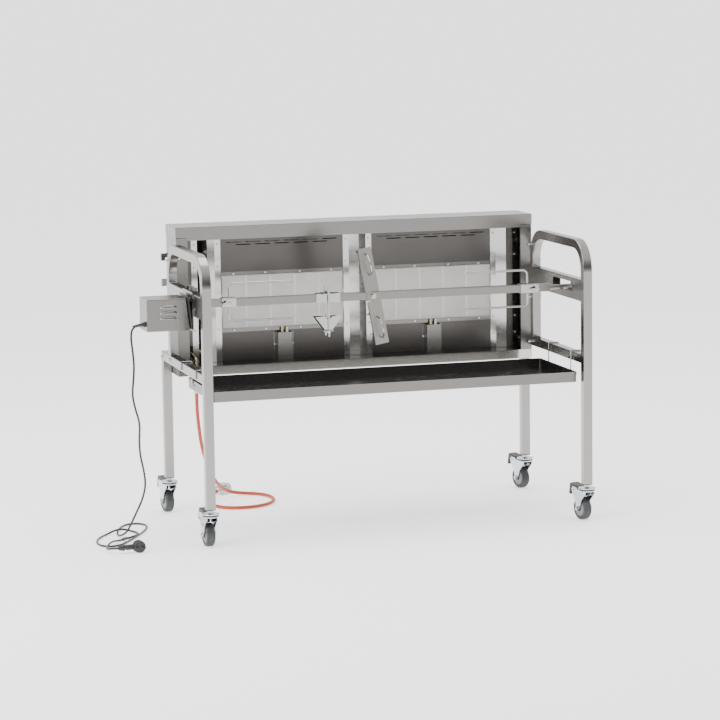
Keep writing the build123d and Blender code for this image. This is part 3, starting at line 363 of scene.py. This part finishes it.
# ---- power cord: down from the motor, in loose loops on the floor, to its plug
cordSize = {"diameter": 0.007, "length": 2.12}
cordRoute = [
    (-0.810, 0.168, 0.702), (-0.8205, 0.168, 0.702), (-0.8304, 0.168, 0.6984), (-0.8384, 0.167, 0.6917),
    (-0.8436, 0.166, 0.6826), (-0.8454, 0.165, 0.672), (-0.846, 0.164, 0.654), (-0.843, 0.161, 0.622),
    (-0.840, 0.156, 0.577), (-0.844, 0.152, 0.529), (-0.850, 0.150, 0.482), (-0.841, 0.151, 0.436),
    (-0.826, 0.154, 0.388), (-0.829, 0.160, 0.336), (-0.826, 0.166, 0.284), (-0.814, 0.172, 0.234),
    (-0.807, 0.180, 0.184), (-0.816, 0.190, 0.138), (-0.833, 0.202, 0.096), (-0.849, 0.214, 0.058),
    (-0.860, 0.226, 0.030), (-0.871, 0.246, 0.0135), (-0.880, 0.275, 0.0045), (-0.878, 0.314, 0.004),
    (-0.868, 0.358, 0.004), (-0.852, 0.402, 0.004), (-0.832, 0.440, 0.004), (-0.804, 0.462, 0.004),
    (-0.774, 0.454, 0.004), (-0.760, 0.426, 0.004), (-0.764, 0.384, 0.004), (-0.782, 0.336, 0.004),
    (-0.806, 0.288, 0.004), (-0.834, 0.238, 0.004), (-0.862, 0.190, 0.004), (-0.890, 0.148, 0.004),
    (-0.918, 0.124, 0.004), (-0.946, 0.124, 0.004), (-0.965, 0.148, 0.004), (-0.969, 0.190, 0.004),
    (-0.958, 0.238, 0.004), (-0.936, 0.284, 0.004), (-0.908, 0.318, 0.005), (-0.880, 0.337, 0.012),
    (-0.850, 0.344, 0.012), (-0.824, 0.332, 0.005), (-0.811, 0.306, 0.004), (-0.818, 0.276, 0.004),
    (-0.840, 0.250, 0.004), (-0.868, 0.226, 0.004), (-0.898, 0.198, 0.005), (-0.924, 0.160, 0.012),
    (-0.945, 0.118, 0.012), (-0.958, 0.080, 0.009), (-0.962, 0.050, 0.012), (-0.953, 0.025, 0.017),
    (-0.931, 0.0142, 0.019), (-0.910, 0.0170, 0.019)]
cordPoints = [at(*point) for point in cordRoute]
powerCord = routeCurve("powerCord", cordPoints, cordSize["diameter"] / 2, "cord", "motor_unit")
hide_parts("power_cord", "power_cord_loops")

reliefSize = {"length": 0.030, "root": 0.0060, "tip": 0.0042, "ribs": 5}


def strainRelief():
    # A ribbed sleeve on the cord's first straight stretch.
    ribs = reliefSize["ribs"]
    profile = [(0, -0.004), (reliefSize["root"], -0.004)]
    for k in range(ribs):
        start = k / ribs
        radius = reliefSize["root"] + (reliefSize["tip"] - reliefSize["root"]) * start
        for part, factor in ((0.1, 1.0), (0.55, 1.0), (0.65, 0.86), (0.95, 0.86)):
            profile.append((radius * factor, reliefSize["length"] * (start + part / ribs)))
    profile += [(reliefSize["tip"] * 0.9, reliefSize["length"]), (0, reliefSize["length"])]
    bm = bmesh.new()
    spinInto(bm, profile, aim((0, 0, 0), (0, 0, 1)), 24)
    bmesh.ops.subdivide_edges(bm, edges=bm.edges, cuts=1)
    start, bend = cordPoints[0], cordPoints[2]
    along = (bend - start).normalized()
    bmesh.ops.transform(bm, matrix=aim(start, along), verts=bm.verts)
    return pieceFrom(bm, "strainRelief", "black", "motor_unit")


relief = strainRelief()


plugSize = {"middle": (-0.866, 0.022, 0.019), "turn": 10.0, "ribs": 4, "sleeveStart": 0.048}


def plugGrip():
    # Raised ribs round the plug's body and a moulded sleeve where the cord goes in.
    bm = bmesh.new()
    turn = math.radians(plugSize["turn"])
    forward = Vector((math.sin(turn), -math.cos(turn), 0))
    centre = at(*plugSize["middle"])
    for k in range(plugSize["ribs"]):
        start = centre - forward * (0.010 - 0.0052 * k)
        spinInto(bm, [(0.0185, -0.0011), (0.0198, -0.0007), (0.0198, 0.0007), (0.0185, 0.0011)],
                 aim(start, forward), 40)
    sideways = Vector((-math.cos(turn), -math.sin(turn), 0))
    root = centre - forward * 0.004 + sideways * plugSize["sleeveStart"]
    spinInto(bm, [(0, 0), (0.0098, 0), (0.0096, 0.006), (0.0078, 0.014), (0.0060, 0.020), (0, 0.020)],
             aim(root, sideways), 32)
    return pieceFrom(bm, "plugGrip", "black", "motor_unit")


grip = plugGrip()


def cordTie():
    # A twisted wire tie round the strands where the hank crosses itself.
    ring = []
    for k in range(15):
        a = 2 * math.pi * k / 14
        ring.append(at(-0.872 + 0.011 * math.cos(a), 0.200 + 0.016 * math.sin(a) * 0.5,
                       0.0075 + 0.0105 * math.sin(a) * 0.55))
    return routeCurve("cordTie", ring, 0.0012, "black", "motor_unit")


tie = cordTie()
print("power cord done")

# ---- gas hose: from the valve line's fitting to the regulator on the floor
hoseSize = {"diameter": 0.012, "length": 1.32}
hoseRoute = [
    (-0.553, 0.540, 0.437), (-0.553, 0.540, 0.402), (-0.551, 0.546, 0.352), (-0.543, 0.560, 0.296),
    (-0.532, 0.582, 0.240), (-0.514, 0.616, 0.188), (-0.489, 0.664, 0.136), (-0.460, 0.718, 0.090),
    (-0.425, 0.774, 0.050), (-0.388, 0.822, 0.022), (-0.345, 0.840, 0.010), (-0.300, 0.832, 0.007),
    (-0.266, 0.801, 0.007), (-0.250, 0.753, 0.007), (-0.252, 0.697, 0.007), (-0.273, 0.645, 0.007),
    (-0.313, 0.606, 0.007), (-0.366, 0.587, 0.007), (-0.416, 0.592, 0.007), (-0.455, 0.616, 0.007),
    (-0.474, 0.658, 0.007), (-0.476, 0.714, 0.007), (-0.461, 0.770, 0.011), (-0.437, 0.818, 0.020),
    (-0.413, 0.856, 0.020)]
hosePoints = [at(*point) for point in hoseRoute]
gasHose = routeCurve("gasHose", hosePoints, hoseSize["diameter"] / 2, "hose", "stand")
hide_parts("gas_hose")


def hoseClip(name, end, inner):
    # A crimped steel ferrule over the hose's end.
    along = (inner - end).normalized()
    bm = bmesh.new()
    profile = [(0.0062, 0), (0.0084, 0), (0.0084, 0.003)]
    for k in range(3):
        low = 0.004 + 0.005 * k
        profile += [(0.0074, low), (0.0074, low + 0.0018), (0.0084, low + 0.003), (0.0084, low + 0.0042)]
    profile += [(0.0084, 0.021), (0.0062, 0.021), (0.0062, 0)]
    spinInto(bm, profile, aim(end, along), 36)
    return pieceFrom(bm, name, "screw", "stand")


clips = [hoseClip("hoseClipTop", hosePoints[0], hosePoints[1]),
         hoseClip("hoseClipRegulator", hosePoints[-1], hosePoints[-2])]


def regulatorTrim():
    # The rim round the regulator's cover, and six small bosses spaced round its top.
    along = (hosePoints[-1] - hosePoints[-2]).normalized()
    centre = hosePoints[-1] + along * 0.052
    bm = bmesh.new()
    spinInto(bm, [(0.0270, 0.0062), (0.0304, 0.0062), (0.0310, 0.0052), (0.0310, -0.0052), (0.0304, -0.0062),
                  (0.0270, -0.0062), (0.0270, 0.0062)], aim(centre - Vector((0, 0, 0.006)), (0, 0, 1)), 56)
    for k in range(6):
        angle = 2 * math.pi * k / 6
        spot = centre + Vector((0.0262 * math.cos(angle), 0.0262 * math.sin(angle), 0.0055))
        spinInto(bm, [(0, 0.0022), (0.0020, 0.0020), (0.0026, 0.0008), (0.0026, -0.001), (0, -0.001)],
                 aim(spot, (0, 0, 1)), 16)
    return pieceFrom(bm, "regulatorTrim", "castMetal", "stand")


trim = regulatorTrim()
print("gas hose done")

# ---- casters: grey wheel hubs, tyre grooves and the swivel's dust ring
hubSize = {"radius": 0.0255, "depth": 0.0028, "width": 0.028}


def casterTrim(corner):
    centre, axle = jointPlace(f"{corner}_wheel_turn")
    bm = bmesh.new()
    for side in (-1, 1):
        face = centre + axle * side * (hubSize["width"] / 2 - 0.0032)
        profile = [(0.0060, 0.0005), (0.0100, 0.0030), (0.0105, 0.0016), (0.0190, 0.0010), (0.0225, 0.0024),
                   (hubSize["radius"], 0.0022), (hubSize["radius"], -0.0004), (0.0060, -0.0004),
                   (0.0060, 0.0005)]
        spinInto(bm, profile, aim(face, axle * side), 48)
    pieceFrom(bm, f"{corner}WheelHub", "grey", f"{corner}_wheel")
    bm = bmesh.new()
    for offset in (-0.0045, 0.0045):
        ring = [(0.0372, -0.0006), (0.0378, -0.0004), (0.0378, 0.0004), (0.0372, 0.0006), (0.0372, -0.0006)]
        spinInto(bm, ring, aim(centre + axle * offset, axle), 64)
    pieceFrom(bm, f"{corner}TyreRib", "tyre", f"{corner}_wheel")
    pivot, up = jointPlace(f"{corner}_swivel")
    top = Vector((pivot.x, pivot.y, 0.1015))
    bm = bmesh.new()
    spinInto(bm, [(0.0222, 0.0), (0.0262, 0.0004), (0.0262, 0.0036), (0.0222, 0.0040), (0.0222, 0.0)],
             aim(top, up), 56)
    pieceFrom(bm, f"{corner}DustRing", "black", "stand")


for corner in ("front_left", "front_right", "rear_left", "rear_right"):
    casterTrim(corner)
print("casters done")

# ---- motor: louvre hoods, end screws, a black strip of painted shadow between cover and plate, coupling with its thumb screw
louvreSize = {"length": 0.066, "height": 0.0085, "depth": 0.0050, "levels": (0.757, 0.739, 0.721)}


def louvres():
    low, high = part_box("motor_cover")
    middleX = at(-0.724, 0, 0).x
    bm = bmesh.new()
    for y, out in ((low.y, -1), (high.y, 1)):
        for level in louvreSize["levels"]:
            hood = bmesh.new()
            bmesh.ops.create_uvsphere(hood, u_segments=28, v_segments=14, radius=0.5)
            size = (louvreSize["length"], 2 * louvreSize["depth"], 2 * louvreSize["height"])
            bmesh.ops.scale(hood, vec=size, verts=hood.verts)
            for cut in ((0, 0, -1), (0, -out, 0)):
                geom = hood.verts[:] + hood.edges[:] + hood.faces[:]
                bmesh.ops.bisect_plane(hood, geom=geom, plane_co=(0, 0, 0), plane_no=cut, clear_outer=True)
            merge(bm, hood, Matrix.Translation((middleX, y, level - 0.002)))
    piece = pieceFrom(bm, "coverLouvres", "hook", "motor_unit")
    wall = piece.modifiers.new("wall", "SOLIDIFY")
    wall.thickness = 0.0009
    wall.offset = -1
    return piece


louvres()


def screwsInto(bm, spots, radius=0.0042, height=0.0024):
    # Pan heads.
    for spot, out in spots:
        profile = [(0, height), (radius * 0.55, height * 0.95), (radius * 0.88, height * 0.62), (radius, 0),
                   (0, 0)]
        spinInto(bm, profile, aim(spot, out), 20)


def motorTrim():
    low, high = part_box("motor_cover")
    bm = bmesh.new()
    left = Vector((-1, 0, 0))
    spots = [(Vector((low.x, y, z)), left) for y in (low.y + 0.018, high.y - 0.018)
             for z in (high.z - 0.014, low.z + 0.014)]
    screwsInto(bm, spots)
    pieceFrom(bm, "coverScrews", "screw", "motor_unit")
    # A thin black slanted sheet between cover and plate: painted shadow, standing in for the shade along the
    # cover's edge.
    bm = bmesh.new()
    placing = Matrix.Translation(at(-0.6582, 0.198, 0.735)) @ Matrix.Rotation(math.radians(-6.6), 4, "Y")
    blockInto(bm, (-0.0022, -0.058, -0.054), (0.0022, 0.058, 0.055), 0.0008, placing)
    pieceFrom(bm, "coverShadowStrip", "black", "motor_unit")


motorTrim()
couplingSize = {"radius": 0.017, "left": -0.646, "right": -0.6245, "screwRadius": 0.0095}


def couplingTrim():
    along = jointPlace("spit_turn")[1]
    start = at(couplingSize["left"], 0.198, 0.757)
    length = couplingSize["right"] - couplingSize["left"]
    r = couplingSize["radius"]
    bm = bmesh.new()
    spinInto(bm, [(0.0080, 0), (r - 0.001, 0), (r, 0.001), (r, length - 0.001), (r - 0.001, length),
                  (0.0080, length), (0.0080, 0)], aim(start, along), 48)
    pieceFrom(bm, "couplingCollar", "spit", "spit_bar")
    bm = bmesh.new()
    grip = couplingSize["screwRadius"]
    spot = start + along * length / 2 + Vector((0, -r + 0.001, 0))
    spinInto(bm, [(0, 0), (0.0035, 0), (0.0035, 0.0022), (grip * 0.8, 0.003), (grip, 0.0042), (grip, 0.0095),
                  (grip * 0.85, 0.0108), (0, 0.0108)], aim(spot, (0, -1, 0)), 16)
    pieceFrom(bm, "couplingThumbScrew", "black", "spit_bar", smooth=False)


couplingTrim()
print("motor done")

# ---- cabinet: bezels behind the knobs, electrode sleeves, burner edging
def cabinetTrim():
    bm = bmesh.new()
    for joint in ("upper_gas_knob_turn", "lower_gas_knob_turn"):
        centre = jointPlace(joint)[0]
        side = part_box("cabinet_casing")[0].x
        face = Vector((side, centre.y, centre.z))
        bezel = [(0.0052, 0.0006), (0.0165, 0.0006), (0.0175, 0.0014), (0.0172, 0.0030), (0.0160, 0.0034),
                 (0.0052, 0.0034), (0.0052, 0.0006)]
        spinInto(bm, bezel, aim(face, (-1, 0, 0)), 48)
    pieceFrom(bm, "knobBezels", "screw", "stand")
    bm = bmesh.new()
    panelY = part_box("left_burner_panel")[0].y
    sleeve = [(0.0035, 0.0), (0.0046, 0.0), (0.0046, 0.034), (0.0040, 0.036), (0.0040, 0.042),
              (0.0035, 0.044), (0.0035, 0.0)]
    for side in ("left", "right"):
        low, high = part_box(f"{side}_burner_plaques")
        foot = Vector(((low.x + high.x) / 2 + 0.010, panelY - 0.012, 0.574))
        spinInto(bm, sleeve, aim(foot, (0, 0, 1)), 24)
    pieceFrom(bm, "electrodeSleeves", "whiteCeramic", "stand")


cabinetTrim()


def burnerEdging():
    # A bright folded lip round each burner's mouth.
    for side in ("left", "right"):
        low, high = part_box(f"{side}_burner_plaques")
        bm = bmesh.new()
        y0, y1, w = low.y - 0.0035, low.y + 0.0004, 0.0022
        spans = [((low.x - w, y0, low.z - w), (high.x + w, y1, low.z - 0.0002)),
                 ((low.x - w, y0, high.z + 0.0002), (high.x + w, y1, high.z + w)),
                 ((low.x - w, y0, low.z - 0.0002), (low.x - 0.0002, y1, high.z + 0.0002)),
                 ((high.x + 0.0002, y0, low.z - 0.0002), (high.x + w, y1, high.z + 0.0002))]
        for start, end in spans:
            blockInto(bm, start, end, 0.0005)
        pieceFrom(bm, f"{side}BurnerLip", "bright", "stand")


burnerEdging()
print("cabinet done")

# ---- welds where the rails meet the end frames
weldSize = {"radius": 0.0017, "step": 0.0045}


def weldRing(points):
    bm = bmesh.new()
    beads = []
    for start, end in zip(points, points[1:] + points[:1]):
        count = max(1, round((end - start).length / weldSize["step"]))
        beads += [start.lerp(end, k / count) for k in range(count)]
    for spot in beads:
        radius = weldSize["radius"] * random.uniform(0.9, 1.15)
        made = bmesh.ops.create_icosphere(bm, subdivisions=1, radius=radius)
        bmesh.ops.translate(bm, vec=spot, verts=made["verts"])
    return bm


def welds():
    joined = bmesh.new()
    for side in ("left", "right"):
        for node in (f"{side}_spit_rail", f"{side}_lower_rail"):
            low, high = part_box(node)
            bottom = high.z - (0.030 if "lower" in node else 0.070)
            ends = [low.y] + ([high.y] if "spit" in node else [])
            for y in ends:
                corners = [Vector((low.x + 0.003, y, high.z)), Vector((high.x - 0.003, y, high.z))]
                if "lower" in node:
                    corners += [Vector((high.x - 0.003, y, bottom)), Vector((low.x + 0.003, y, bottom))]
                ring = weldRing(corners)
                mesh = bpy.data.meshes.new("ring")
                ring.to_mesh(mesh)
                ring.free()
                joined.from_mesh(mesh)
                bpy.data.meshes.remove(mesh)
    return pieceFrom(joined, "frameWelds", "screw", "stand")


welds()
print("welds done")

# ---- studio: pale floor, soft light, camera
# The sky is dim low down in front, so that the steel has something to show, and bright behind and overhead.
sky = {"front": 0.14, "back": 1.5, "lowest": -0.9, "highest": 0.5, "overhead": 0.9}
lamps = {
    "keyLight": {"place": (-3.4, -1.6, 3.0), "size": 2.4, "power": 110.0},
    "fillLight": {"place": (3.2, -2.4, 2.6), "size": 2.0, "power": 24.0},
    "topLight": {"place": (0.2, 0.8, 4.0), "size": 2.6, "power": 90.0}}


def studio():
    floorMesh = bpy.data.meshes.new("floor")
    bm = bmesh.new()
    bmesh.ops.create_grid(bm, x_segments=1, y_segments=1, size=400.0)
    bm.to_mesh(floorMesh)
    bm.free()
    floor = bpy.data.objects.new("floor", floorMesh)
    bpy.context.scene.collection.objects.link(floor)
    paper = Shader("floorPaper", 0.9)
    paper.feed(Base_Color=(0.95, 0.95, 0.95, 1.0), Specular_IOR_Level=0.1)
    paper.feed(Emission_Color=(1.0, 1.0, 1.0, 1.0), Emission_Strength=1.0)
    floorMesh.materials.append(paper.material)
    world = bpy.data.worlds.new("studio")
    bpy.context.scene.world = world
    world.use_nodes = True
    tree = world.node_tree
    spot = tree.nodes.new("ShaderNodeTexCoord")
    split = tree.nodes.new("ShaderNodeSeparateXYZ")
    fade = tree.nodes.new("ShaderNodeMapRange")
    fade.interpolation_type = "SMOOTHSTEP"
    limits = {"From Min": "lowest", "From Max": "highest", "To Min": "front", "To Max": "back"}
    for socket, key in limits.items():
        fade.inputs[socket].default_value = sky[key]
    tree.links.new(spot.outputs["Generated"], split.inputs[0])
    lift = tree.nodes.new("ShaderNodeMath")
    lift.operation = "MULTIPLY_ADD"
    lift.inputs[1].default_value = sky["overhead"]
    tree.links.new(split.outputs["Z"], lift.inputs[0])
    tree.links.new(split.outputs["Y"], lift.inputs[2])
    tree.links.new(lift.outputs[0], fade.inputs["Value"])
    tree.links.new(fade.outputs["Result"], tree.nodes["Background"].inputs["Strength"])
    tree.nodes["Background"].inputs["Color"].default_value = (1.0, 1.0, 1.0, 1.0)
    for name, lamp in lamps.items():
        light = bpy.data.lights.new(name, "AREA")
        light.size = lamp["size"]
        light.energy = lamp["power"]
        stand = bpy.data.objects.new(name, light)
        bpy.context.scene.collection.objects.link(stand)
        stand.location = lamp["place"]
        toward = Vector((0, 0, 0.5)) - Vector(lamp["place"])
        stand.rotation_euler = toward.to_track_quat("-Z", "Y").to_euler()


def camera():
    look = {"place": (-2.570, -8.402, 1.804), "yaw": 16.13, "down": 7.99, "roll": -0.79, "lens": 138.7}
    yaw, down, roll = (math.radians(look[k]) for k in ("yaw", "down", "roll"))
    forward = Vector((math.sin(yaw) * math.cos(down), math.cos(yaw) * math.cos(down), -math.sin(down)))
    right = Vector((math.cos(yaw), -math.sin(yaw), 0))
    up = right.cross(forward)
    tiltedRight = right * math.cos(roll) + up * math.sin(roll)
    tiltedUp = up * math.cos(roll) - right * math.sin(roll)
    data = bpy.data.cameras.new("camera")
    data.lens = look["lens"]
    data.sensor_width = 36.0
    data.clip_end = 1000.0
    lens = bpy.data.objects.new("camera", data)
    bpy.context.scene.collection.objects.link(lens)
    turn = Matrix((tiltedRight, tiltedUp, -forward)).transposed().to_4x4()
    lens.matrix_world = Matrix.Translation(at(*look["place"])) @ turn
    bpy.context.scene.camera = lens


studio()
camera()

print("studio done")
